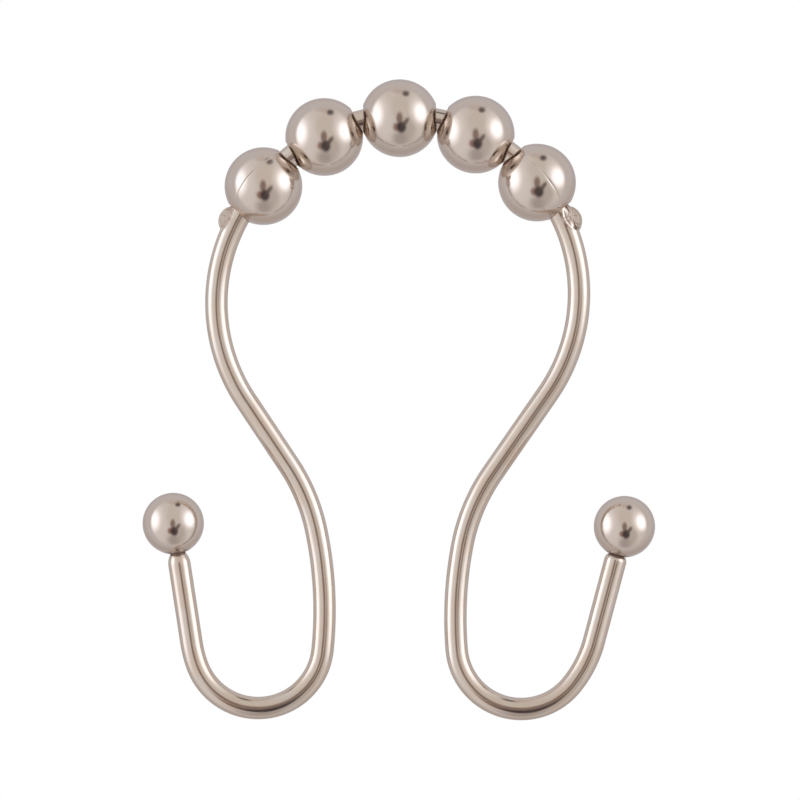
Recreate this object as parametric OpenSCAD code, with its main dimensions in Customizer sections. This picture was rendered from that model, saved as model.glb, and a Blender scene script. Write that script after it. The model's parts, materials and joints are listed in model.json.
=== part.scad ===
// Shower curtain hook. One round wire is bent to an arch with a hook at each end.
// Five hollow sheet-metal rollers turn on the arch between two staked stop ears,
// and a solid ball is pressed on each tip.
// Sizes are in millimetres and degrees. +Z is up, +Y runs along the curtain rod,
// and the origin is the centre of the arch. "Along the wire" is measured from the
// crown of the arch, positive down the right arm and negative down the left arm.

/* [Wire] */
// Diameter of the wire
wire_d = 2.9; // [2.4:0.1:3.3]
// Bend radius of the arch that carries the rollers, to the middle of the wire
arch_r = 22.3; // [21:0.1:28]
// Turn of the arch on each side of its crown
arch_turn = 45; // [44:1:56]
// Bend radius of the shoulders below the arch
shoulder_r = 22.5; // [20:0.1:28]
// Bend radius of the reverse bend at the waist
waist_r = 24; // [15:1:40]
// Bend radius of the nearly straight leg
leg_r = 50; // [40:5:120]
// Bend radius of the two hooks
hook_r = 8.3; // [6:0.1:12]
// Bend radius where a hook eases into its tip
curl_r = 15; // [12:1:40]

/* [Right arm] */
// Straight length between the arch and the right shoulder
right_flat = 0.4; // [0.3:0.1:4]
// Turn of the right shoulder
right_shoulder_turn = 79.7; // [66:0.1:84]
// Straight length between the right shoulder and waist
right_diagonal = 12.5; // [6:0.1:20]
// Turn of the right waist
right_waist_turn = 23.9; // [18:0.1:40]
// Turn of the right leg
right_leg_turn = 15.4; // [4:0.1:20]
// Turn of the right hook
right_hook_turn = 135.9; // [120:0.1:160]
// Turn of the right curl
right_curl_turn = 24.6; // [5:0.1:30]
// Straight length of the right tip, up to its ball
right_tip = 11.3; // [6:0.1:20]
// Length over which the right tip is rounded down at its ball
right_round = 0.6; // [0.4:0.1:2]
// Diameter of the right tip where it meets its ball
right_end_d = 2.4; // [2.2:0.1:2.6]

/* [Left arm] */
// Straight length between the arch and the left shoulder
left_flat = 2.1; // [0.3:0.1:4]
// Turn of the left shoulder
left_shoulder_turn = 78.6; // [66:0.1:84]
// Straight length between the left shoulder and waist
left_diagonal = 10; // [6:0.1:20]
// Turn of the left waist
left_waist_turn = 21.7; // [18:0.1:40]
// Turn of the left leg
left_leg_turn = 17.7; // [4:0.1:20]
// Turn of the left hook
left_hook_turn = 154; // [120:0.1:160]
// Turn of the left curl
left_curl_turn = 11.5; // [5:0.1:30]
// Straight length of the left tip, up to its ball
left_tip = 11.6; // [6:0.1:20]
// Length over which the left tip is rounded down at its ball
left_round = 1.5; // [0.4:0.1:2]
// Diameter of the left tip where it meets its ball
left_end_d = 2.1; // [2:0.1:2.6]

/* [Rollers] */
// Diameter of each roller
roller_d = 10; // [8:0.1:11.5]
// Thickness of the sheet the rollers are formed from
roller_wall = 0.5; // [0.3:0.05:0.8]
// Free play all round between the bent wire and a roller's holes
bore_play = 0.08; // [0.06:0.01:0.3]
// Space between neighbouring rollers where they come closest
roller_gap = 0.06; // [0.04:0.01:0.4]
// How far the row of rollers and its stop ears lie from the crown, along the wire
row_shift = -0.35; // [-0.5:0.05:0.5]
// Bevel round the edge of each hole
hole_bevel = 0.08; // [0.04:0.01:0.15]
// Width of the butt seam that runs from hole to hole
seam_w = 0.12; // [0.05:0.01:0.3]
// Depth of the butt seam
seam_depth = 0.12; // [0.05:0.01:0.2]

/* [Stop ears] */
// Radius of a staked ear's round outline
ear_r = 1.75; // [1.5:0.05:2.2]
// How far an ear stands out from the wire
ear_out = 0.85; // [0.4:0.05:1]
// Thickness that the punch leaves
ear_t = 1.2; // [0.8:0.05:1.6]
// Width of the punched flat, from the ear's edge inwards
ear_w = 1.45; // [1.2:0.05:2]
// Free play along the wire between an ear and the rim of the end roller
ear_play = 0.25; // [0.2:0.05:1.5]

/* [End balls] */
// Diameter of the ball on each tip
ball_d = 7.9; // [6:0.1:10]
// Diameter of the turned neck that the ball is pressed on
neck_d = 1.8; // [1.4:0.1:1.9]
// Length of the neck inside the ball
neck_l = 4.5; // [3:0.1:5]
// Radial clearance between neck and ball
neck_fit = 0.01; // [0:0.01:0.05]
// Space left in the ball past the neck's end
neck_relief = 0.3; // [0.1:0.1:0.8]
// Joint left between the rounded end and the ball
joint_gap = 0.05; // [0.02:0.01:0.2]

/* [Hidden] */
$fn = 96;

nickel = [0.78, 0.72, 0.66];
roller_tint = [0.82, 0.76, 0.70];

// The wire's bend list on each side of the crown, as [bend radius, turn] or [0, straight length].
// A right-hand turn is negative, going down the right arm.
right_bends = [
    [arch_r, -arch_turn], [0, right_flat], [shoulder_r, -right_shoulder_turn],
    [0, right_diagonal], [waist_r, right_waist_turn], [leg_r, right_leg_turn],
    [hook_r, right_hook_turn], [curl_r, right_curl_turn], [0, right_tip]];
left_bends = mirrored([
    [arch_r, -arch_turn], [0, left_flat], [shoulder_r, -left_shoulder_turn],
    [0, left_diagonal], [waist_r, left_waist_turn], [leg_r, left_leg_turn],
    [hook_r, left_hook_turn], [curl_r, left_curl_turn], [0, left_tip]]);
right_start = [0, arch_r, 0];
left_start = [0, arch_r, 180];

// Every second length of wire stops this hairline short of its neighbours, and a core a
// little thinner than the wire bridges each joint, so that all lengths are one solid
join_slit = 0.003;
join_step = 0.05;
join_core = 0.1;

// A hole passes the wire, its bow inside the roller and the play on both sides:
// bore = wire + 2 play + (R^2 - (bore/2)^2) / (2 arch_r), solved for bore
bore_need = wire_d + 2 * bore_play + pow(roller_d / 2, 2) / (2 * arch_r);
bore_d = sqrt(4 * arch_r * (4 * arch_r + 2 * bore_need)) - 4 * arch_r;
rim_z = sqrt(pow(roller_d, 2) - pow(bore_d, 2)) / 2;
bow = pow(rim_z, 2) / (2 * arch_r);
line_r = arch_r - bow / 2;

// Neighbours come closest at the inner sides of their hole rims, or at their round
// sides where the holes are small. Each gives half the turn from roller to roller.
rim_r = line_r - bore_d / 2;
rim_turn = atan2(rim_z, rim_r) + asin(roller_gap / 2 / norm([rim_r, rim_z]));
side_turn = asin((roller_d + roller_gap) / 2 / line_r);
half_turn = rim_turn < asin(bore_d / roller_d) ? rim_turn : side_turn;
roller_pitch = 2 * half_turn * PI / 180 * arch_r;
seam_turns = [64, 232, 204, 251, 78];

// The ear's outline circle lies off the wire's middle, and its flat ends at a straight edge.
// Its near end dips into the hole of the end roller, up to where it would meet the rim.
ear_side = wire_d / 2 + ear_out - ear_r;
ear_inner = ear_side + ear_r - ear_w;
ear_stop = sqrt(pow(bore_d, 2) - pow(ear_t, 2)) / 2 + bow / 2;
ear_near = sqrt(max(0, pow(ear_r, 2) - pow(ear_stop - ear_side, 2)));
ear_at = 2 * roller_pitch + rim_z + ear_play + ear_near;

ball_seat = sqrt(pow(ball_d, 2) - pow(neck_d, 2)) / 2;

function mirrored(bends) = [for (b = bends) [b[0], b[0] == 0 ? b[1] : -b[1]]];

// Length of wire in one piece of a bend list
function run(p) = p[0] == 0 ? p[1] : p[0] * abs(p[1]) * PI / 180;

// Place and heading [x, z, heading] after a length s of piece p
function advance(at, p, s) =
    p[0] == 0
        ? [at[0] + s * cos(at[2]), at[1] + s * sin(at[2]), at[2]]
        : let (way = sign(p[1]), to = at[2] + way * s / p[0] * 180 / PI)
          [at[0] + way * p[0] * (sin(to) - sin(at[2])),
           at[1] - way * p[0] * (cos(to) - cos(at[2])),
           to];

// Place and heading after a length s of the whole bend list
function follow(bends, s, at, i = 0) =
    i == len(bends) - 1 || s <= run(bends[i])
        ? advance(at, bends[i], s)
        : follow(bends, s - run(bends[i]), advance(at, bends[i], run(bends[i])), i + 1);

// Start of piece n of a bend list
function start_of(bends, n, at) =
    n == 0 ? at : let (p = start_of(bends, n - 1, at)) advance(p, bends[n - 1], run(bends[n - 1]));

// Place on the wire, always heading from the left arm to the right arm
function on_wire(s) =
    s >= 0
        ? follow(right_bends, s, right_start)
        : let (p = follow(left_bends, -s, left_start)) [p[0], p[1], p[2] - 180];

// Stands children at a place: their X runs along the wire and their Z to its left
module stand(at) {
    translate([at[0], 0, at[1]]) rotate([0, -at[2], 0]) children();
}

// One bend or straight, at the place where it starts, cut short at both ends
module length_of_wire(p, at, cut) {
    stand(at)
        if (p[0] == 0)
            translate([cut, 0, 0]) rotate([0, 90, 0]) cylinder(d = wire_d, h = p[1] - 2 * cut);
        else {
            way = sign(p[1]);
            cut_turn = cut / p[0] * 180 / PI;
            sweep = abs(p[1]) - 2 * cut_turn;
            translate([0, 0, way * p[0]]) rotate([90, 0, 0])
                rotate([0, 0, way > 0 ? cut_turn - 90 : 90 - cut_turn - sweep])
                    rotate_extrude(angle = sweep) translate([p[0], 0]) circle(d = wire_d);
        }
}

// The core that bridges the joint at a place
module core(at) {
    stand(at) rotate([0, 90, 0])
        cylinder(d = wire_d - 2 * join_step, h = 2 * join_core, center = true);
}

// The last straight, its rounded end and the turned neck
module tip(p, at, round_l, end_d) {
    body = p[1] - round_l;
    drop = (wire_d - end_d) / 2;
    round_r = (pow(round_l, 2) + pow(drop, 2)) / (2 * drop);
    stand(at) rotate([0, 90, 0]) {
        rotate_extrude() intersection() {
            square([wire_d / 2, p[1]]);
            union() {
                square([wire_d / 2, body]);
                translate([wire_d / 2 - round_r, body]) circle(r = round_r);
            }
        }
        translate([0, 0, body]) cylinder(d = neck_d, h = round_l + joint_gap + neck_l);
    }
}

// One arm from the end of the arch to its tip
module arm(bends, at, round_l, end_d) {
    last = len(bends) - 1;
    for (i = [1 : last - 1])
        length_of_wire(bends[i], start_of(bends, i, at), i % 2 * join_slit);
    for (i = [1 : last]) core(start_of(bends, i, at));
    tip(bends[last], start_of(bends, last, at), round_l, end_d);
}

module arch() {
    rotate([90, 0, 0]) rotate([0, 0, 90 - arch_turn])
        rotate_extrude(angle = 2 * arch_turn) translate([arch_r, 0]) circle(d = wire_d);
}

// Outline of an ear, with the wire's middle at the origin and outwards along Y
module ear_outline() {
    intersection() {
        translate([0, ear_side]) circle(r = ear_r);
        translate([-ear_r, ear_inner]) square(2 * ear_r);
    }
}

// A slab of the ear's outline, from -h/2 to h/2 through the wire
module ear_slab(h) {
    rotate([90, 0, 0]) linear_extrude(h, center = true) ear_outline();
}

// What the two punches press out of the wire, front and back
module punch_marks() {
    for (side = [-1, 1])
        translate([0, side * (ear_t + wire_d) / 2, 0]) ear_slab(wire_d);
}

module hook_wire() {
    color(nickel) {
        difference() {
            union() {
                arch();
                arm(right_bends, right_start, right_round, right_end_d);
                arm(left_bends, left_start, left_round, left_end_d);
            }
            stand(on_wire(row_shift + ear_at)) punch_marks();
            stand(on_wire(row_shift - ear_at)) punch_marks();
        }
        stand(on_wire(row_shift + ear_at)) ear_slab(ear_t);
        stand(on_wire(row_shift - ear_at)) ear_slab(ear_t);
    }
}

// Half section of a roller: the sheet, cut by its two holes, each with a bevelled edge
module roller_section() {
    edge = bore_d / 2;
    difference() {
        circle(d = roller_d);
        circle(d = roller_d - 2 * roller_wall);
        translate([-roller_d, -roller_d]) square([roller_d + edge, 2 * roller_d]);
        for (side = [0, 1])
            mirror([0, side]) translate([edge, rim_z - hole_bevel])
                rotate([0, 0, 45]) translate([-roller_wall, 0]) square(2 * roller_wall);
    }
}

// A hollow roller, formed from sheet with a butt seam from hole to hole
module roller(n) {
    s = (n - 3) * roller_pitch + row_shift;
    stand(on_wire(s)) translate([0, 0, -bow / 2]) rotate([seam_turns[n - 1], 0, 0])
        color(roller_tint) difference() {
            rotate([0, 90, 0]) rotate_extrude() roller_section();
            intersection() {
                rotate([90, 0, 0]) difference() {
                    cylinder(d = 2 * roller_d, h = seam_w, center = true);
                    cylinder(d = roller_d - 2 * seam_depth, h = 2 * seam_w, center = true);
                }
                translate([-rim_z, -roller_d, 0]) cube([2 * rim_z, 2 * roller_d, roller_d]);
            }
        }
}

// A solid ball with a blind hole for the neck
module end_ball(bends, at) {
    last = len(bends) - 1;
    stand(start_of(bends, last, at)) translate([bends[last][1] + joint_gap + ball_seat, 0, 0])
        rotate([0, 90, 0]) color(nickel) difference() {
            sphere(d = ball_d);
            translate([0, 0, -ball_d]) cylinder(
                d = neck_d + 2 * neck_fit, h = ball_d - ball_seat + neck_l + neck_relief);
        }
}

hook_wire();
roller(1);  // roller_1
roller(2);  // roller_2
roller(3);  // roller_3
roller(4);  // roller_4
roller(5);  // roller_5
end_ball(left_bends, left_start);  // end_ball_left
end_ball(right_bends, right_start);  // end_ball_right
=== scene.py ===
import bpy
import bmesh
import json
import math
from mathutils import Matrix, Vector


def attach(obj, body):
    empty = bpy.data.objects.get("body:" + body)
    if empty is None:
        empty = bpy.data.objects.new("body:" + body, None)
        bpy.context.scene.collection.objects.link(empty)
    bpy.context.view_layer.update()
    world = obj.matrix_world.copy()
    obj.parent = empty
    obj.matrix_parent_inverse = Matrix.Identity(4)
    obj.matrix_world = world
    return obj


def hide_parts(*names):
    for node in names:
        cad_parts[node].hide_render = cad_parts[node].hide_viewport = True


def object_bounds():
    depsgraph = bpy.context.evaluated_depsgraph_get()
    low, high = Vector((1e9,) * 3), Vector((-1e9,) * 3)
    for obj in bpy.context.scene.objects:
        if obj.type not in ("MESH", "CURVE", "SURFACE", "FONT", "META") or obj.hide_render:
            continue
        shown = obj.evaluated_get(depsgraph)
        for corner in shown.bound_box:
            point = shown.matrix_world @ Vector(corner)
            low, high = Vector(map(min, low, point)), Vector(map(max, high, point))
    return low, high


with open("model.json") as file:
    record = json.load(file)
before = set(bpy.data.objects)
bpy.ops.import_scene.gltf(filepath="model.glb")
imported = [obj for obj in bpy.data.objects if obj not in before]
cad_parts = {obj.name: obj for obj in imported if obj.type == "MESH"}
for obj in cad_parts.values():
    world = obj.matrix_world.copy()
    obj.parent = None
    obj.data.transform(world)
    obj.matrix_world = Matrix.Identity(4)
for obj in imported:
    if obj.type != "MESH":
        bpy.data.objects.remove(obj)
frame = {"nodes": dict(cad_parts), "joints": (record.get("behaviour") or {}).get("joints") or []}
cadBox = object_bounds()
scene = bpy.context.scene
mm = 0.001  # one millimetre in metres
print("frame loaded:", ", ".join(sorted(frame["nodes"])))


def newNode(tree, kind, x=0, y=0, **settings):
    node = tree.nodes.new("ShaderNode" + kind)
    node.location = (x, y)
    for name, value in settings.items():
        setattr(node, name, value)
    return node


def setInputs(node, values):
    for name, value in values.items():
        node.inputs[name].default_value = value
    return node


def mathNode(tree, operation, first, second=None, x=0, y=0):
    node = newNode(tree, "Math", x, y, operation=operation)
    for slot, value in zip(node.inputs, (first, second)):
        if value is None:
            continue
        if isinstance(value, (int, float)):
            slot.default_value = value
        else:
            tree.links.new(value, slot)
    return node.outputs[0]


def newGroup(name, inputs, outputs):
    # A node group from (name, kind, value) for each input and (name, kind) for each output
    g = bpy.data.node_groups.new(name, "ShaderNodeTree")
    sockets = g.interface
    for label, kind, value in inputs:
        socket = sockets.new_socket(name=label, in_out="INPUT", socket_type="NodeSocket" + kind)
        if value is not None:
            socket.default_value = value
    for label, kind in outputs:
        sockets.new_socket(name=label, in_out="OUTPUT", socket_type="NodeSocket" + kind)
    start = g.nodes.new("NodeGroupInput")
    start.location = (-900, 0)
    end = g.nodes.new("NodeGroupOutput")
    end.location = (700, 0)
    return g, start.outputs, end.inputs


# Camera: level, straight on to the front, with a long lens
cameraView = {
    "lens": 421.2, "sensor": 36, "distance": 1200 * mm,
    "aimX": -0.308 * mm, "aimZ": -14.07 * mm,
    "nearest": 0.01, "farthest": 10,
}


def makeCamera(v):
    data = bpy.data.cameras.new("catalogueCamera")
    data.lens = v["lens"]
    data.sensor_width = v["sensor"]
    data.clip_start = v["nearest"]
    data.clip_end = v["farthest"]
    camera = bpy.data.objects.new("catalogueCamera", data)
    camera.location = (v["aimX"], -v["distance"], v["aimZ"])
    camera.rotation_euler = (math.radians(90), 0, 0)
    scene.collection.objects.link(camera)
    scene.camera = camera


makeCamera(cameraView)
scene.view_settings.view_transform = "Standard"
print("camera set")

# Studio: a light tent with a softbox on each side, laid out as it shows on a mirror ball
# seen from the front. x and z run from -1 to 1 across the ball, and the turn is in degrees.
studio = {
    "tent": (0.76, 0.73, 0.72),
    "spots": [
        # name, x, z, half width, half height, turn, softness, colour, amount
        ("leftWall", -0.47, -0.03, 0.26, 0.56, 0, 0.45, (0.84, 0.82, 0.82), 0.75),
        ("rightWall", 0.47, 0.06, 0.20, 0.48, 0, 0.50, (0.80, 0.77, 0.76), 0.7),
        ("frontStrip", 0.02, 0.30, 0.22, 0.36, 0, 0.35, (0.70, 0.66, 0.62), 0.9),
        ("ceilingShade", 0.02, 0.70, 0.24, 0.08, 0, 0.5, (0.60, 0.53, 0.49), 0.8),
        ("tableShade", 0.03, -0.54, 0.20, 0.19, 0, 0.60, (0.42, 0.38, 0.37), 0.85),
        ("rightShade", 0.26, -0.28, 0.15, 0.30, 0, 0.65, (0.53, 0.49, 0.46), 0.75),
        ("leftGlow", -0.55, 0.16, 0.19, 0.38, -6, 0.55, (0.98, 0.97, 0.98), 0.8),
        ("rightGlow", 0.46, 0.17, 0.18, 0.31, 8, 0.55, (1.04, 1.02, 1.02), 0.85),
        ("leftSoftbox", -0.60, 0.11, 0.14, 0.27, 0, 0.75, (1.62, 1.70, 1.85), 1.0),
        ("rightSoftbox", 0.535, 0.14, 0.145, 0.225, 12, 0.60, (1.66, 1.74, 1.88), 1.0),
        ("ceilingHole", 0.155, 0.62, 0.085, 0.07, 0, 0.55, (0.15, 0.13, 0.13), 1.0),
        ("cameraCase", -0.085, -0.235, 0.085, 0.10, 0, 0.45, (0.27, 0.15, 0.115), 0.88),
        ("cameraTop", -0.005, -0.01, 0.08, 0.15, 0, 0.45, (0.19, 0.115, 0.09), 0.82),
        ("cameraBody", 0.045, -0.245, 0.12, 0.145, 0, 0.38, (0.06, 0.045, 0.05), 0.96),
        ("cameraArm", 0.15, -0.11, 0.055, 0.13, -36, 0.45, (0.13, 0.10, 0.09), 0.88),
        ("cameraGlint", 0.118, -0.03, 0.04, 0.05, 0, 0.6, (0.55, 0.40, 0.28), 0.35),
    ],
    # What lies beyond the tent's mouth: the ground behind the hook, darker towards the rim
    "beyond": [
        # name, x, z, radius, softness, colour
        ("groundBehind", 0.0, 0.03, 0.712, 0.06, (0.64, 0.62, 0.63)),
        ("groundBelow", 0.0, 0.14, 0.93, 0.10, (0.52, 0.47, 0.45)),
        ("farRim", 0.0, 0.0, 0.93, 0.05, (0.54, 0.51, 0.53)),
    ],
    "behindCone": 10,  # degrees round the line straight behind the hook that metal sees white
}


def softSpotGroup():
    # Mask of one soft, turned ellipse on the mirror ball
    g, given, result = newGroup(
        "softSpot",
        [("Mirror", "Vector", None), ("Centre", "Vector", None), ("Half Size", "Vector", None),
         ("Turn", "Float", None), ("Softness", "Float", None)],
        [("Mask", "Float")])
    away = newNode(g, "VectorMath", -700, operation="SUBTRACT")
    turned = newNode(g, "VectorRotate", -500, rotation_type="Y_AXIS")
    scaled = newNode(g, "VectorMath", -300, operation="DIVIDE")
    length = newNode(g, "VectorMath", -100, operation="LENGTH")
    edge = newNode(g, "MapRange", 250, interpolation_type="SMOOTHSTEP")
    setInputs(edge, {"To Min": 1, "To Max": 0})
    inner = mathNode(g, "SUBTRACT", 1, given["Softness"], 50, -150)
    outer = mathNode(g, "ADD", 1, given["Softness"], 50, -300)
    g.links.new(given["Mirror"], away.inputs[0])
    g.links.new(given["Centre"], away.inputs[1])
    g.links.new(away.outputs[0], turned.inputs["Vector"])
    g.links.new(given["Turn"], turned.inputs["Angle"])
    g.links.new(turned.outputs[0], scaled.inputs[0])
    g.links.new(given["Half Size"], scaled.inputs[1])
    g.links.new(scaled.outputs[0], length.inputs[0])
    g.links.new(length.outputs["Value"], edge.inputs["Value"])
    g.links.new(inner, edge.inputs["From Min"])
    g.links.new(outer, edge.inputs["From Max"])
    g.links.new(edge.outputs[0], result["Mask"])
    return g


def makeStudio(v):
    world = bpy.data.worlds.new("lightTent")
    scene.world = world
    world.use_nodes = True
    t = world.node_tree
    t.nodes.clear()
    spotGroup = softSpotGroup()
    direction = newNode(t, "TexCoord", -1600)
    halfway = newNode(t, "VectorMath", -1400, operation="ADD")
    halfway.inputs[1].default_value = (0, -1, 0)
    mirror = newNode(t, "VectorMath", -1200, operation="NORMALIZE")
    flat = newNode(t, "VectorMath", -1000, operation="MULTIPLY")
    flat.inputs[1].default_value = (1, 0, 1)
    t.links.new(direction.outputs["Generated"], halfway.inputs[0])
    t.links.new(halfway.outputs[0], mirror.inputs[0])
    t.links.new(mirror.outputs[0], flat.inputs[0])
    inside = newNode(t, "RGB", -800, 300)
    inside.outputs[0].default_value = v["tent"] + (1,)
    tone = inside.outputs[0]
    rings = [(name, x, z, r, r, 0, soft, colour, None)
             for name, x, z, r, soft, colour in v["beyond"]]
    for n, (name, x, z, wide, high, turn, soft, colour, amount) in enumerate(v["spots"] + rings):
        spot = newNode(t, "Group", -800, -220 * n, node_tree=spotGroup, label=name)
        t.links.new(flat.outputs[0], spot.inputs["Mirror"])
        setInputs(spot, {"Centre": (x, 0, z), "Half Size": (wide, 1, high),
                         "Turn": math.radians(turn), "Softness": soft})
        mix = newNode(t, "Mix", -400 + 60 * n, -220 * n, data_type="RGBA")
        if amount is None:  # a ring beyond the tent colours what lies outside it
            share = mathNode(t, "SUBTRACT", 1, spot.outputs["Mask"], -600, -220 * n)
        else:
            share = mathNode(t, "MULTIPLY", spot.outputs["Mask"], amount, -600, -220 * n)
        t.links.new(share, mix.inputs["Factor"])
        t.links.new(tone, mix.inputs["A"])
        mix.inputs["B"].default_value = colour + (1,)
        tone = mix.outputs["Result"]
    tent = newNode(t, "Background", 700, 0)
    t.links.new(tone, tent.inputs["Color"])
    white = newNode(t, "Background", 700, -200)
    setInputs(white, {"Color": (1, 1, 1, 1), "Strength": 1})
    # The backdrop is white to the camera, through glass, and in metal straight behind the hook
    rays = newNode(t, "LightPath", 0, 700)
    parts = newNode(t, "SeparateXYZ", 0, 500)
    t.links.new(direction.outputs["Generated"], parts.inputs[0])
    cone = math.cos(math.radians(v["behindCone"]))
    behind = mathNode(t, "GREATER_THAN", parts.outputs["Y"], cone, 200, 500)
    inMetal = mathNode(t, "MULTIPLY", rays.outputs["Is Glossy Ray"], behind, 400, 500)
    seen = mathNode(t, "MAXIMUM", rays.outputs["Is Camera Ray"],
                    rays.outputs["Is Transmission Ray"], 400, 700)
    either = mathNode(t, "MAXIMUM", seen, inMetal, 600, 600)
    choose = newNode(t, "MixShader", 900, 0)
    t.links.new(either, choose.inputs[0])
    t.links.new(tent.outputs[0], choose.inputs[1])
    t.links.new(white.outputs[0], choose.inputs[2])
    out = newNode(t, "OutputWorld", 1100, 0)
    t.links.new(choose.outputs[0], out.inputs["Surface"])


makeStudio(studio)
print("studio lit")

# Floor: a plain white disc below the hook that fades into the backdrop and is clear from below
floorDisc = {
    "radius": 185 * mm, "drop": 45 * mm, "solidTo": 0.45, "sides": 96,
    "colour": (0.86, 0.86, 0.86), "roughness": 0.9, "lift": 0.33,
    "grainScale": 900.0, "grainStrength": 0.15, "grainHeight": 0.0002,
}


def makeFloor(v):
    mesh = bpy.data.meshes.new("studioFloor")
    bm = bmesh.new()
    bmesh.ops.create_circle(bm, cap_ends=True, segments=v["sides"], radius=v["radius"])
    bm.to_mesh(mesh)
    bm.free()
    floor = bpy.data.objects.new("studioFloor", mesh)
    centre = (cadBox[0] + cadBox[1]) / 2
    floor.location = (centre.x, centre.y, cadBox[0].z - v["drop"])
    scene.collection.objects.link(floor)
    floor.visible_glossy = False
    m = bpy.data.materials.new("whitePaper")
    m.use_nodes = True
    t = m.node_tree
    t.nodes.clear()
    place = newNode(t, "TexCoord", -800)
    radius = newNode(t, "VectorMath", -600, operation="LENGTH")
    fade = newNode(t, "MapRange", -400, interpolation_type="SMOOTHSTEP")
    setInputs(fade, {"From Min": v["radius"] * v["solidTo"], "From Max": v["radius"],
                     "To Min": 1.0, "To Max": 0.0})
    t.links.new(place.outputs["Object"], radius.inputs[0])
    t.links.new(radius.outputs["Value"], fade.inputs["Value"])
    grain = newNode(t, "TexNoise", -600, -300)
    setInputs(grain, {"Scale": v["grainScale"], "Detail": 3.0})
    t.links.new(place.outputs["Object"], grain.inputs["Vector"])
    bump = newNode(t, "Bump", -400, -300)
    setInputs(bump, {"Strength": v["grainStrength"], "Distance": v["grainHeight"]})
    t.links.new(grain.outputs[0], bump.inputs["Height"])
    paper = newNode(t, "BsdfPrincipled", -200, -100)
    setInputs(paper, {"Base Color": v["colour"] + (1,), "Roughness": v["roughness"]})
    t.links.new(bump.outputs[0], paper.inputs["Normal"])
    rays = newNode(t, "LightPath", -200, 500)
    lift = newNode(t, "Emission", 0, 100)
    liftSeen = mathNode(t, "MULTIPLY", rays.outputs["Is Camera Ray"], v["lift"], 0, 300)
    t.links.new(liftSeen, lift.inputs["Strength"])
    both = newNode(t, "AddShader", 250, 0)
    t.links.new(paper.outputs[0], both.inputs[0])
    t.links.new(lift.outputs[0], both.inputs[1])
    side = newNode(t, "NewGeometry", 0, -400)
    front = mathNode(t, "SUBTRACT", 1, side.outputs["Backfacing"], 200, -400)
    shown = mathNode(t, "MULTIPLY", fade.outputs[0], front, 400, -300)
    clear = newNode(t, "BsdfTransparent", 250, 150)
    choose = newNode(t, "MixShader", 600, 0)
    t.links.new(shown, choose.inputs[0])
    t.links.new(clear.outputs[0], choose.inputs[1])
    t.links.new(both.outputs[0], choose.inputs[2])
    out = newNode(t, "OutputMaterial", 800, 0)
    t.links.new(choose.outputs[0], out.inputs["Surface"])
    mesh.materials.append(m)


makeFloor(floorDisc)
print("floor laid")


# Plating effects. Sizes and places are in millimetres on the metal.
def plateToneGroup():
    # Colour that drifts in patches from the plate's tone to a warmer one
    g, given, result = newGroup(
        "plateTone",
        [("Place", "Vector", None), ("Plate", "Color", None), ("Warm Plate", "Color", None),
         ("Patch Size", "Float", 4.0), ("Amount", "Float", 0.5)],
        [("Color", "Color")])
    patches = setInputs(newNode(g, "TexNoise", -300, 0), {"Detail": 3.0, "Roughness": 0.55})
    g.links.new(given["Place"], patches.inputs["Vector"])
    scale = mathNode(g, "DIVIDE", 1, given["Patch Size"], -600, -150)
    g.links.new(scale, patches.inputs["Scale"])
    spread = setInputs(newNode(g, "MapRange", 0, 0), {"From Min": 0.35, "From Max": 0.65})
    g.links.new(patches.outputs[0], spread.inputs["Value"])
    mix = newNode(g, "Mix", 400, 0, data_type="RGBA")
    share = mathNode(g, "MULTIPLY", spread.outputs[0], given["Amount"], 200, 0)
    g.links.new(share, mix.inputs["Factor"])
    g.links.new(given["Plate"], mix.inputs["A"])
    g.links.new(given["Warm Plate"], mix.inputs["B"])
    g.links.new(mix.outputs["Result"], result["Color"])
    return g


def polishHazeGroup():
    # Roughness in patches, from brightly polished to slightly hazy
    g, given, result = newGroup(
        "polishHaze",
        [("Place", "Vector", None), ("Bright", "Float", 0.08), ("Hazy", "Float", 0.16),
         ("Patch Size", "Float", 2.5)],
        [("Roughness", "Float")])
    patches = setInputs(newNode(g, "TexNoise", -300, 0), {"Detail": 4.0, "Roughness": 0.6})
    g.links.new(given["Place"], patches.inputs["Vector"])
    scale = mathNode(g, "DIVIDE", 1, given["Patch Size"], -600, -150)
    g.links.new(scale, patches.inputs["Scale"])
    spread = setInputs(newNode(g, "MapRange", 100, 0), {"From Min": 0.38, "From Max": 0.66})
    g.links.new(patches.outputs[0], spread.inputs["Value"])
    g.links.new(given["Bright"], spread.inputs["To Min"])
    g.links.new(given["Hazy"], spread.inputs["To Max"])
    g.links.new(spread.outputs[0], result["Roughness"])
    return g


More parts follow.
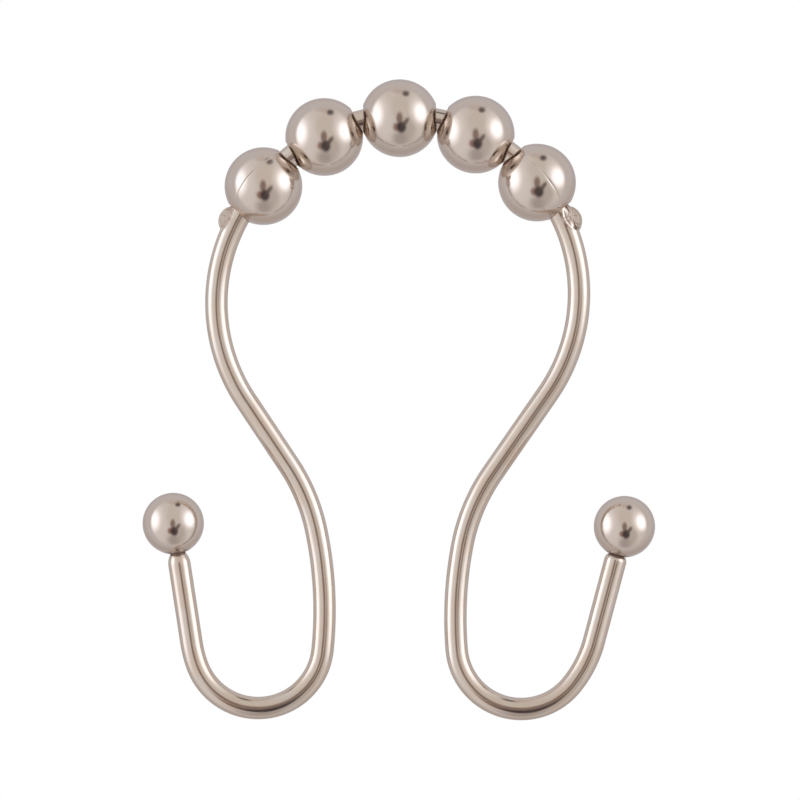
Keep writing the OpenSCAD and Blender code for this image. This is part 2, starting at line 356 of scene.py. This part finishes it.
def platePeelGroup():
    # Height of slow waves in the plate, with small nibs on them
    g, given, result = newGroup(
        "platePeel",
        [("Place", "Vector", None), ("Wave Size", "Float", 1.4), ("Nib Spacing", "Float", 3.0),
         ("Nib Size", "Float", 0.12), ("Nib Height", "Float", 0.6)],
        [("Height", "Float")])
    waves = setInputs(newNode(g, "TexNoise", -300, 200), {"Detail": 1.5, "Roughness": 0.4})
    waveScale = mathNode(g, "DIVIDE", 1, given["Wave Size"], -600, 200)
    g.links.new(given["Place"], waves.inputs["Vector"])
    g.links.new(waveScale, waves.inputs["Scale"])
    nibs = newNode(g, "TexVoronoi", -300, -150)
    nibScale = mathNode(g, "DIVIDE", 1, given["Nib Spacing"], -600, -100)
    g.links.new(given["Place"], nibs.inputs["Vector"])
    g.links.new(nibScale, nibs.inputs["Scale"])
    reach = mathNode(g, "DIVIDE", given["Nib Size"], given["Nib Spacing"], -300, -400)
    dome = newNode(g, "MapRange", 0, -150, interpolation_type="SMOOTHSTEP")
    setInputs(dome, {"To Min": 1.0, "To Max": 0.0})
    g.links.new(nibs.outputs["Distance"], dome.inputs["Value"])
    g.links.new(reach, dome.inputs["From Max"])
    raised = mathNode(g, "MULTIPLY", dome.outputs[0], given["Nib Height"], 250, -150)
    g.links.new(mathNode(g, "ADD", waves.outputs[0], raised, 450, 0), result["Height"])
    return g


def drawLinesGroup():
    # Height of the fine lines that the die leaves along drawn wire
    g, given, result = newGroup(
        "drawLines",
        [("Along", "Float", 0.0), ("Around", "Float", 0.0), ("Line Length", "Float", 9.0),
         ("Lines Around", "Float", 40.0)],
        [("Height", "Float")])
    angle = mathNode(g, "MULTIPLY", given["Around"], 2 * math.pi, -650, -150)
    ring = mathNode(g, "DIVIDE", given["Lines Around"], 2 * math.pi, -650, -350)
    place = newNode(g, "CombineXYZ", -200, 0)
    for wave, socket, y in (("COSINE", "X", -100), ("SINE", "Y", -250)):
        turned = mathNode(g, wave, angle, None, -500, y)
        g.links.new(mathNode(g, "MULTIPLY", turned, ring, -350, y), place.inputs[socket])
    along = mathNode(g, "DIVIDE", given["Along"], given["Line Length"], -350, 150)
    g.links.new(along, place.inputs["Z"])
    lines = newNode(g, "TexNoise", 100, 0)
    setInputs(lines, {"Scale": 1.0, "Detail": 2.0, "Roughness": 0.6})
    g.links.new(place.outputs[0], lines.inputs["Vector"])
    g.links.new(lines.outputs[0], result["Height"])
    return g


plateTone = plateToneGroup()
polishHaze = polishHazeGroup()
platePeel = platePeelGroup()
drawLines = drawLinesGroup()


def startPlate(name):
    m = bpy.data.materials.new(name)
    m.use_nodes = True
    t = m.node_tree
    place = newNode(t, "TexCoord", -1500, 0)
    inMm = newNode(t, "VectorMath", -1300, 0, operation="SCALE")
    inMm.inputs["Scale"].default_value = 1 / mm
    t.links.new(place.outputs["Object"], inMm.inputs[0])
    shader = t.nodes["Principled BSDF"]
    shader.inputs["Metallic"].default_value = 1.0
    return m, t, inMm.outputs[0], shader


def useGroup(t, group, x, y, values, place=None):
    node = newNode(t, "Group", x, y, node_tree=group)
    if place is not None:
        t.links.new(place, node.inputs["Place"])
    return setInputs(node, values)


def bumpOf(t, height, distance, x, y, below=None):
    bump = newNode(t, "Bump", x, y)
    setInputs(bump, {"Strength": 1.0, "Distance": distance})
    t.links.new(height, bump.inputs["Height"])
    if below is not None:
        t.links.new(below, bump.inputs["Normal"])
    return bump.outputs[0]


# Warm nickel plate: one tone for the drawn wire, and one for the formed and solid balls.
# Heights and distances are in mm.
nickelPlate = {
    "wire": (0.73, 0.65, 0.58, 1), "wireWarm": (0.70, 0.56, 0.45, 1),
    "ball": (0.73, 0.65, 0.59, 1), "ballWarm": (0.71, 0.60, 0.51, 1),
    # Metal that the punch has pressed: its two tones, and how far it covers, dulls and roughens
    "pressed": (0.86, 0.76, 0.69, 1), "pressedDark": (0.50, 0.37, 0.30, 1),
    "pressedCover": 0.8, "pressedDull": 0.65, "pressedRough": 0.28, "pressedGrain": 0.035,
    # Painted shade at the wire's tips, painted shade and reflection round the roller holes, and
    # the reach of the painted ring on the end balls
    "paintedShade": (0.24, 0.15, 0.11, 1), "holeShade": (0.54, 0.39, 0.30, 1),
    "shadeCover": 0.85, "shadeDull": 0.6, "shadeRough": 0.25,
    "ringNear": 1.3, "ringFar": 2.3,
    # Bumps on the wire
    "broadLines": 0.010, "fineLines": 0.0016, "wirePeel": 0.008,
}


def paintedShadeMask(t):
    # Painted shade and reflection that the mesh carries at its points
    return newNode(t, "Attribute", -800, 700, attribute_name="paintedShade").outputs["Fac"]


def ringShade(t, place, joints, near, far):
    # Ring of painted shade and reflection on the metal round each place in joints
    nearest = None
    for n, joint in enumerate(joints):
        away = newNode(t, "VectorMath", -1300, 600 + 200 * n, operation="DISTANCE")
        away.inputs[1].default_value = joint
        t.links.new(place, away.inputs[0])
        distance = away.outputs["Value"]
        if nearest is None:
            nearest = distance
        else:
            nearest = mathNode(t, "MINIMUM", nearest, distance, -1100, 700)
    ring = newNode(t, "MapRange", -900, 700, interpolation_type="SMOOTHSTEP")
    setInputs(ring, {"From Min": near, "From Max": far, "To Min": 1.0, "To Max": 0.0})
    t.links.new(nearest, ring.inputs["Value"])
    return ring.outputs[0]


def addShade(t, v, paintedShade, shadeColour, colour, roughness):
    # Painted shade at the tips, and painted shade and reflection round the roller holes
    mix = newNode(t, "Mix", -100, 500, data_type="RGBA")
    t.links.new(mathNode(t, "MULTIPLY", paintedShade, v["shadeCover"], -400, 650), mix.inputs["Factor"])
    t.links.new(colour, mix.inputs["A"])
    mix.inputs["B"].default_value = shadeColour
    matt = mathNode(t, "MULTIPLY", paintedShade, v["shadeRough"], -400, 800)
    rougher = mathNode(t, "ADD", roughness, matt, -200, 200)
    dull = mathNode(t, "MULTIPLY", paintedShade, v["shadeDull"], -400, 950)
    metal = mathNode(t, "SUBTRACT", 1, dull, -200, 900)
    return mix.outputs["Result"], rougher, metal


def makeWirePlate(v):
    m, t, place, shader = startPlate("drawnWirePlate")
    tone = useGroup(t, plateTone, -700, 300, {
        "Plate": v["wire"], "Warm Plate": v["wireWarm"], "Patch Size": 3.0, "Amount": 0.5}, place)
    haze = useGroup(t, polishHaze, -700, 50, {
        "Bright": 0.10, "Hazy": 0.17, "Patch Size": 2.0}, place)
    peel = useGroup(t, platePeel, -700, -200, {
        "Wave Size": 2.2, "Nib Spacing": 4.2, "Nib Size": 0.13, "Nib Height": 1.2}, place)
    onWire = newNode(t, "UVMap", -1300, -500, uv_map="alongWire")
    axes = newNode(t, "SeparateXYZ", -1100, -500)
    t.links.new(onWire.outputs[0], axes.inputs[0])
    fine = useGroup(t, drawLines, -700, -450, {"Line Length": 7.0, "Lines Around": 60.0})
    broad = useGroup(t, drawLines, -700, -650, {"Line Length": 5.0, "Lines Around": 7.0})
    for lines in (fine, broad):
        t.links.new(axes.outputs["X"], lines.inputs["Along"])
        t.links.new(axes.outputs["Y"], lines.inputs["Around"])
    normal = bumpOf(t, broad.outputs[0], v["broadLines"] * mm, -400, -600)
    normal = bumpOf(t, fine.outputs[0], v["fineLines"] * mm, -250, -450, normal)
    normal = bumpOf(t, peel.outputs["Height"], v["wirePeel"] * mm, -100, -250, normal)
    # The punched ears are matt and brownish, with darker grains
    pressed = newNode(t, "Attribute", -1300, -900, attribute_name="pressed")
    grains = newNode(t, "TexNoise", -1100, -1100)
    setInputs(grains, {"Scale": 1.9, "Detail": 4.0, "Roughness": 0.62})
    t.links.new(place, grains.inputs["Vector"])
    dark = newNode(t, "MapRange", -900, -1100)
    setInputs(dark, {"From Min": 0.50, "From Max": 0.68, "To Max": 0.75})
    t.links.new(grains.outputs[0], dark.inputs["Value"])
    punched = newNode(t, "Mix", -700, -1000, data_type="RGBA")
    punched.inputs["A"].default_value = v["pressed"]
    punched.inputs["B"].default_value = v["pressedDark"]
    t.links.new(dark.outputs[0], punched.inputs["Factor"])
    colour = newNode(t, "Mix", -300, 300, data_type="RGBA")
    cover = mathNode(t, "MULTIPLY", pressed.outputs["Fac"], v["pressedCover"], -500, 150)
    t.links.new(cover, colour.inputs["Factor"])
    t.links.new(tone.outputs[0], colour.inputs["A"])
    t.links.new(punched.outputs["Result"], colour.inputs["B"])
    # Painted shade at the wire's tips, where they meet the end balls
    shaded, rougher, metal = addShade(t, v, paintedShadeMask(t), v["paintedShade"],
                                       colour.outputs["Result"], haze.outputs[0])
    t.links.new(shaded, shader.inputs["Base Color"])
    dull = mathNode(t, "MULTIPLY", pressed.outputs["Fac"], v["pressedDull"], -300, 150)
    t.links.new(mathNode(t, "SUBTRACT", metal, dull, -150, 150), shader.inputs["Metallic"])
    matt = mathNode(t, "MULTIPLY", pressed.outputs["Fac"], v["pressedRough"], -500, -50)
    t.links.new(mathNode(t, "ADD", rougher, matt, -300, 0), shader.inputs["Roughness"])
    rough = mathNode(t, "MULTIPLY", grains.outputs[0], pressed.outputs["Fac"], -500, -900)
    normal = bumpOf(t, rough, v["pressedGrain"] * mm, 0, -450, normal)
    t.links.new(normal, shader.inputs["Normal"])
    return m


def makeBallPlate(name, v, waveSize, waveHeight, hazy, joints=None):
    # Plate of a ball. Its painted shade and reflection lie round the joints, or where the mesh
    # carries them.
    m, t, place, shader = startPlate(name)
    tone = useGroup(t, plateTone, -700, 300, {
        "Plate": v["ball"], "Warm Plate": v["ballWarm"], "Patch Size": 2.6, "Amount": 0.45}, place)
    haze = useGroup(t, polishHaze, -700, 50, {
        "Bright": 0.08, "Hazy": hazy, "Patch Size": 1.8}, place)
    peel = useGroup(t, platePeel, -700, -200, {
        "Wave Size": waveSize, "Nib Spacing": 3.4, "Nib Size": 0.09, "Nib Height": 0.5}, place)
    if joints:
        paintedShade = ringShade(t, place, joints, v["ringNear"], v["ringFar"])
        shadeColour = v["paintedShade"]
    else:
        paintedShade = paintedShadeMask(t)
        shadeColour = v["holeShade"]
    shaded, rougher, metal = addShade(t, v, paintedShade, shadeColour, tone.outputs[0], haze.outputs[0])
    normal = bumpOf(t, peel.outputs["Height"], waveHeight * mm, -300, -200)
    t.links.new(metal, shader.inputs["Metallic"])
    t.links.new(shaded, shader.inputs["Base Color"])
    t.links.new(rougher, shader.inputs["Roughness"])
    t.links.new(normal, shader.inputs["Normal"])
    return m


wirePlate = makeWirePlate(nickelPlate)
rollerPlate = makeBallPlate("formedRollerPlate", nickelPlate, waveSize=3.0, waveHeight=0.004,
                            hazy=0.16)
print("plating made")


sharpEdge = math.radians(38)


def addPiece(name, bm, material, body, node):
    mesh = bpy.data.meshes.new(name)
    bm.to_mesh(mesh)
    bm.free()
    mesh.materials.append(material)
    mesh.shade_smooth()
    mesh.set_sharp_from_angle(angle=sharpEdge)
    piece = bpy.data.objects.new(name, mesh)
    scene.collection.objects.link(piece)
    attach(piece, body)
    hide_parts(node)


# Bent wire, in mm and degrees. A bend is (radius, turn) and a straight is (0, length),
# counted down each arm from the crown. Each tip is rounded down to its end diameter,
# and a neck goes on into the ball.
bentWire = {
    "wireD": 2.9, "archR": 22.3,
    "right": [(22.3, -45), (0, 0.4), (22.5, -79.7), (0, 12.5), (24, 23.9), (50, 15.4),
              (8.3, 135.9), (15, 24.6), (0, 11.3)],
    "left": [(22.3, 45), (0, 2.1), (22.5, 78.6), (0, 10), (24, -21.7), (50, -17.7),
             (8.3, -154), (15, -11.5), (0, 11.6)],
    "rightRound": 0.7, "rightEndD": 2.25, "leftRound": 1.5, "leftEndD": 1.95, "reach": 0.05,
    # Neck into the ball, and how far the painted shade at each joint reaches up the tip
    "neckD": 1.8, "neckIn": 0.6, "tipShadeL": 0.2,
    # Points round the wire, and steps along it: plain, at the ears and at the tips
    "around": 128, "step": 0.6, "earStep": 0.06, "tipStep": 0.1,
    "earMargin": 0.2, "leftMargin": 0.1, "rightMargin": 0.5,
}

# Stop ears, in mm, with their place counted along the wire from the crown. A round punch
# flattens the wire in steps of (inner edge, radius of that edge, half thickness left).
stopEars = {
    "wall": 0.18, "lip": 0.03, "lipW": 0.13, "flatFrom": 1.2,
    "ears": [
        {"at": -26.58, "radius": 1.82, "side": 0.48, "lean": 0.0, "steps": [(0.85, 4.0, 0.6)]},
        {"at": 26.2, "radius": 1.88, "side": 0.50, "lean": -0.3,
         "steps": [(0.3, 2.1, 1.28), (0.74, 1.6, 1.02), (1.18, 1.2, 0.6)]},
    ],
}


def runOf(radius, turn):
    return turn if radius == 0 else radius * math.radians(abs(turn))


def lengthOf(bends):
    return sum(runOf(radius, turn) for radius, turn in bends)


def placeOnWire(s, v):
    # x, z and heading at a distance along the wire, right of the crown or, below 0, left of it
    bends = v["right"] if s >= 0 else v["left"]
    x, z, heading, left = 0.0, v["archR"], 0.0 if s >= 0 else math.pi, abs(s)
    for n, (radius, turn) in enumerate(bends):
        part = left if n == len(bends) - 1 else min(left, runOf(radius, turn))
        if radius == 0:
            x += part * math.cos(heading)
            z += part * math.sin(heading)
        else:
            way = math.copysign(1, turn)
            to = heading + way * part / radius
            x += way * radius * (math.sin(to) - math.sin(heading))
            z -= way * radius * (math.cos(to) - math.cos(heading))
            heading = to
        left -= part
    return x, z, heading if s >= 0 else heading - math.pi


def smooth(value):
    value = min(1, max(0, value))
    return value * value * (3 - 2 * value)


def tipRadius(toEnd, roundL, endD, wireR):
    # The wire's radius near a tip, which follows an arc to the end's own radius
    if toEnd >= roundL:
        return wireR
    drop = wireR - endD / 2
    roundR = (roundL ** 2 + drop ** 2) / (2 * drop)
    return wireR - roundR + math.sqrt(roundR ** 2 - (roundL - toEnd) ** 2)


def earSurface(u, offset, thick, e, ear):
    # Half thickness of the punched wire at a place, and how much of it the punch has pressed
    inside = smooth((ear["radius"] - math.hypot(u, offset - ear["side"])) / e["wall"])
    pressed = 0
    for n, (inner, radius, half) in enumerate(ear["steps"]):
        edge = radius - math.hypot(u - ear["lean"], offset - inner - radius)
        mask = inside * smooth(edge / e["wall"] + 0.5)
        last = n == len(ear["steps"]) - 1
        left = half if last or offset > e["flatFrom"] else min(thick, half)
        thick += mask * (left - thick)
        thick += inside * e["lip"] * math.exp(-(edge / e["lipW"] + 1) ** 2)
        pressed = max(pressed, mask * ((n + 1) / len(ear["steps"])) ** 2)
    return thick, pressed


def ringTurn(n, v):
    # The outer half of a ring, where the ears are, has three times the points of the inner half
    quarter = v["around"] // 8
    if n <= quarter:
        return math.pi / 2 * n / quarter
    if n < v["around"] - quarter:
        return math.pi / 2 + math.pi * (n - quarter) / (v["around"] - 2 * quarter)
    return 2 * math.pi - math.pi / 2 * (v["around"] - n) / quarter


def sectionAt(s, v, e, rightEnd, leftEnd):
    # Points round one section as (offset, depth, pressed), starting at the inner side
    wireR = v["wireD"] / 2
    r = min(tipRadius(rightEnd - s, v["rightRound"], v["rightEndD"], wireR),
            tipRadius(s + leftEnd, v["leftRound"], v["leftEndD"], wireR))
    ear = next((one for one in e["ears"] if abs(s - one["at"]) < one["radius"]), None)
    outer = r
    if ear:
        outer = max(r, ear["side"] + math.sqrt(ear["radius"] ** 2 - (s - ear["at"]) ** 2))
    points = []
    for n in range(v["around"]):
        angle = ringTurn(n, v)
        across = -math.cos(angle)
        offset = across * (outer if across > 0 else r)
        thick = math.sqrt(max(0, r * r - offset * offset))
        pressed = 0
        if ear and offset > 0:
            thick, pressed = earSurface(s - ear["at"], offset, thick, e, ear)
        points.append((offset, math.copysign(thick, -math.sin(angle)), pressed))
    return points


def makeWire(v, e):
    leftEnd = lengthOf(v["left"]) + v["reach"]
    rightEnd = lengthOf(v["right"]) + v["reach"]
    rows = []
    s = -leftEnd
    while s < rightEnd:
        rows.append((s, sectionAt(s, v, e, rightEnd, leftEnd)))
        nearEar = any(abs(s - ear["at"]) < ear["radius"] + v["earMargin"] for ear in e["ears"])
        nearTip = (s + leftEnd < v["leftRound"] + v["leftMargin"]
                   or rightEnd - s < v["rightRound"] + v["rightMargin"])
        s += v["earStep"] if nearEar else v["tipStep"] if nearTip else v["step"]
    rows.append((rightEnd, sectionAt(rightEnd, v, e, rightEnd, leftEnd)))
    turns = [ringTurn(n, v) for n in range(v["around"])]
    neckR = v["neckD"] / 2
    neck = [(-math.cos(turn) * neckR, -math.sin(turn) * neckR, 0) for turn in turns]
    for inward in (0.0, v["neckIn"]):
        rows.append((rightEnd + inward, neck))
        rows.insert(0, (-leftEnd - inward, neck))
    bm = bmesh.new()
    pressedLayer = bm.verts.layers.float.new("pressed")
    shadeLayer = bm.verts.layers.float.new("paintedShade")
    uvLayer = bm.loops.layers.uv.new("alongWire")
    rings = []
    for s, points in rows:
        x, z, heading = placeOnWire(s, v)
        # Painted shade at each joint: full on the neck, fading out up the tip
        paintedShade = smooth(1 - min(rightEnd - s, s + leftEnd) / v["tipShadeL"])
        ring = []
        for offset, depth, pressed in points:
            across = (x - math.sin(heading) * offset, depth, z + math.cos(heading) * offset)
            vert = bm.verts.new(Vector(across) * mm)
            vert[pressedLayer] = pressed
            vert[shadeLayer] = paintedShade
            ring.append(vert)
        rings.append(ring)
    count = v["around"]
    for row in range(len(rings) - 1):
        here, after = rings[row], rings[row + 1]
        for n in range(count):
            m = (n + 1) % count
            face = bm.faces.new((here[n], here[m], after[m], after[n]))
            marks = ((row, n), (row, n + 1), (row + 1, n + 1), (row + 1, n))
            for loop, (r, k) in zip(face.loops, marks):
                loop[uvLayer].uv = (rows[r][0], ringTurn(k, v) / (2 * math.pi))
    for ring in (rings[0], rings[-1]):
        bm.faces.new(ring)
    bmesh.ops.recalc_face_normals(bm, faces=bm.faces)
    addPiece("bentWire", bm, wirePlate, "wire", "hook_wire")


makeWire(bentWire, stopEars)
print("wire bent and ears punched")

# Rollers, in mm and degrees: formed from sheet, with a butt seam from hole to hole that is
# widest at one hole, and a funnel in each hole as (along the axis, radius)
rollerShell = {
    "ballD": 10.0, "wall": 0.5, "holeD": 3.55, "bevel": 0.08,
    "lip": [(1, 0), (0.5, 0.1), (0.12, 0.45)],  # rounding of the hole's edge, in bevels
    "collar": [(4.45, 1.685), (4.1, 1.61), (3.7, 1.55), (3.3, 1.51), (3.3, 1.72), (3.9, 1.86)],
    # For each roller: where its seam is turned to, and which hole it is widest at
    "seamTurns": [64, 232, 204, 251, 75], "seamOpens": [-1, 1, -1, 1, 1],
    "seamShut": 0.5, "seamSlope": 0.6, "seamAtLip": 0.6,
    "valleyDepth": 0.02, "valleyWidth": 0.12, "valleyFlare": 0.20,
    # Depth and width of the seam's crack, and the reach of the painted shade and reflection from
    # each hole's edge
    "crackDepth": 0.045, "crackWidth": 0.045, "holeShadeW": 0.35,
    # Points from hole to hole outside and inside, and round the roller, closer at the seam
    "rings": 72, "innerRings": 20, "turnStep": 3, "seamClear": 0.01,
    "seamSteps": [0.0, 0.015, 0.03, 0.05, 0.08, 0.12, 0.17, 0.23, 0.3, 0.4, 0.52],
}


def arcTurns(start, count):
    return [start + (math.pi - 2 * start) * n / count for n in range(count + 1)]


def rollerProfile(v):
    # (along the axis, radius, share of the seam's depth) round the sheet's half section
    ballR, holeR = v["ballD"] / 2, v["holeD"] / 2
    innerR = ballR - v["wall"]
    rimZ = math.sqrt(ballR ** 2 - holeR ** 2)
    outerStart = math.asin(holeR / ballR) + v["bevel"] / ballR
    innerStart = math.asin(holeR / innerR)
    outer = arcTurns(outerStart, v["rings"])
    inner = arcTurns(innerStart, v["innerRings"])
    c = v["bevel"]
    lip = [(rimZ - c * down, holeR + c * out) for down, out in v["lip"]]
    profile = [(z, r, 0) for z, r in reversed(v["collar"])]
    profile += [(z, r, v["seamAtLip"]) for z, r in lip]
    profile += [(ballR * math.cos(a), ballR * math.sin(a), 1) for a in outer]
    profile += [(-z, r, v["seamAtLip"]) for z, r in reversed(lip)]
    profile += [(-z, r, 0) for z, r in v["collar"]]
    profile += [(-innerR * math.cos(a), innerR * math.sin(a), 0) for a in inner]
    return profile


def seamDepth(distance, along, opens, v):
    # The seam is deepest at the hole that it opens to, and half shut at the other
    reach = along / (v["ballD"] / 2)
    opening = v["seamShut"] + (1 - v["seamShut"]) * smooth(0.5 + v["seamSlope"] * opens * reach)
    valleyW = v["valleyWidth"] + v["valleyFlare"] * (reach * reach)
    valley = v["valleyDepth"] * math.exp(-(distance / valleyW) ** 2)
    crack = v["crackDepth"] * math.exp(-(distance / v["crackWidth"]) ** 2)
    return (valley + crack) * opening


def makeRoller(n, v):
    joint = next(j for j in frame["joints"] if j["name"] == "roller_%d_spin" % n)
    centre = Vector(joint["pos_m"]) / mm
    axis = Vector(joint["axis"]).normalized()
    outwards = Vector((-axis.z, 0, axis.x))
    front = Vector((0, -1, 0))
    seamTurn = math.radians(v["seamTurns"][n - 1])
    opens = v["seamOpens"][n - 1]
    near = [step / (v["ballD"] / 2) for step in v["seamSteps"]]
    clear = near[-1] + v["seamClear"]
    steps = range(0, 360, v["turnStep"])
    turns = near + [a for a in map(math.radians, steps) if clear < a < 2 * math.pi - clear]
    turns += [2 * math.pi - a for a in reversed(near[1:])]
    profile = rollerProfile(v)
    holeR = v["holeD"] / 2
    bm = bmesh.new()
    shadeLayer = bm.verts.layers.float.new("paintedShade")
    rings = []
    for turn in turns:
        away = min(turn, 2 * math.pi - turn)
        across = outwards * math.cos(seamTurn + turn) + front * math.sin(seamTurn + turn)
        ring = []
        for along, radius, share in profile:
            r = radius - share * seamDepth(away * radius, along, opens, v) if share else radius
            vert = bm.verts.new((centre + axis * along + across * r) * mm)
            # Painted shade and reflection, full at the hole's edge and fading onto the ball
            vert[shadeLayer] = smooth(1 - (radius - holeR) / v["holeShadeW"])
            ring.append(vert)
        rings.append(ring)
    for a in range(len(rings)):
        b = (a + 1) % len(rings)
        for k in range(len(profile)):
            m = (k + 1) % len(profile)
            bm.faces.new((rings[a][k], rings[a][m], rings[b][m], rings[b][k]))
    bmesh.ops.recalc_face_normals(bm, faces=bm.faces)
    addPiece("rollerShell_%d" % n, bm, rollerPlate, "roller_%d" % n,
             "roller_%d" % n)


for n in range(1, 6):
    makeRoller(n, rollerShell)
print("rollers formed")

# The end balls keep their CAD shape, with a ring of painted shade and reflection where each sits
# on its tip
tips = []
for side, arm in ((1, "right"), (-1, "left")):
    x, z = placeOnWire(side * (lengthOf(bentWire[arm]) + bentWire["reach"]), bentWire)[:2]
    tips.append((x, 0, z))
ballPlate = makeBallPlate("solidBallPlate", nickelPlate, waveSize=2.4, waveHeight=0.003,
                          hazy=0.13, joints=tips)
for name in ("end_ball_left", "end_ball_right"):
    for materialSlot in frame["nodes"][name].material_slots:
        materialSlot.material = ballPlate
print("end balls plated")
